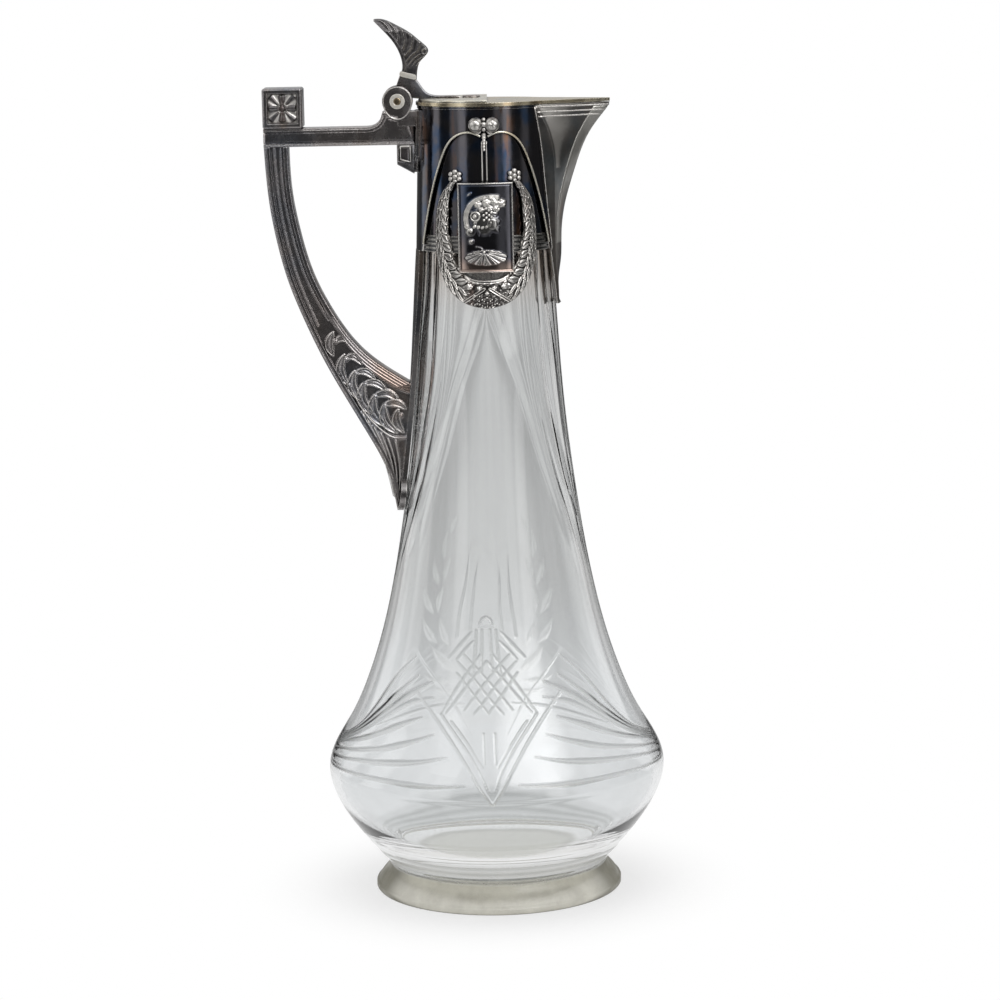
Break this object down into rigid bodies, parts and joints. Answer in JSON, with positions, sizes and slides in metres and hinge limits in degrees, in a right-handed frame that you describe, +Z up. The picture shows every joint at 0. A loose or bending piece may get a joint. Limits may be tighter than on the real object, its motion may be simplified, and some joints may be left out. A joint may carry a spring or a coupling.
{
  "type": "claret jug",
  "caption": "Claret jug with a flared cut glass body, a metal collar and spout, a square-cornered handle and a hinged lid with a thumbpiece.",
  "frame": {"origin": "centre of the foot's flat underside", "axes": "+Z up along the body, +X towards the spout, -X towards the handle, hinge pin along Y"},
  "size_m": [0.1766, 0.155, 0.4003],
  "materials": {
    "cut_glass": "polished",
    "silver_plate": "polished",
    "silver_plate_dark": "polished",
    "gilt": "polished",
    "pin_brass": "satin",
    "plaster": "matte"
  },
  "bodies": {
    "jug": {"arch_bead_front": "silver_plate", "arch_bead_rear": "silver_plate", "back_strap": "silver_plate", "berries_front": "silver_plate", "berries_rear": "silver_plate", "block_rosette_end": "silver_plate", "block_rosette_front": "silver_plate", "block_rosette_rear": "silver_plate", "bracket_backplate": "silver_plate", "corner_block": "silver_plate", "foot_band_front": "silver_plate", "foot_band_rear": "silver_plate", "glass_body": "cut_glass", "grip_relief_front": "silver_plate", "grip_relief_rear": "silver_plate", "handle_bar": "silver_plate", "handle_grip": "silver_plate", "hanging_rod_front": "silver_plate", "hanging_rod_rear": "silver_plate", "hinge_bracket": "silver_plate", "hinge_pin": "pin_brass", "inner_sleeve": "silver_plate_dark", "neck_cement": "plaster", "outer_collar": "silver_plate", "pin_washer_front": "silver_plate", "pin_washer_rear": "silver_plate", "plaque_front": "silver_plate", "plaque_rear": "silver_plate", "plaque_relief_front": "silver_plate", "plaque_relief_rear": "silver_plate", "rose_pair_front": "silver_plate", "rose_pair_rear": "silver_plate", "spout": "silver_plate", "support_block": "silver_plate", "wreath_front": "silver_plate", "wreath_rear": "silver_plate"},
    "lid": {"lid": "silver_plate", "lid_lining": "gilt", "lid_hinge_plate": "silver_plate", "lid_crest": "silver_plate", "lid_arm": "silver_plate", "thumb_bead": "silver_plate", "thumbpiece": "silver_plate"}
  },
  "joints": [
    {"name": "lid_hinge", "type": "hinge", "parent": "jug", "child": "lid", "pos_m": [-0.0386, 0, 0.3636], "axis": [0, -1, 0], "range_deg": [0, 85]}
  ]
}
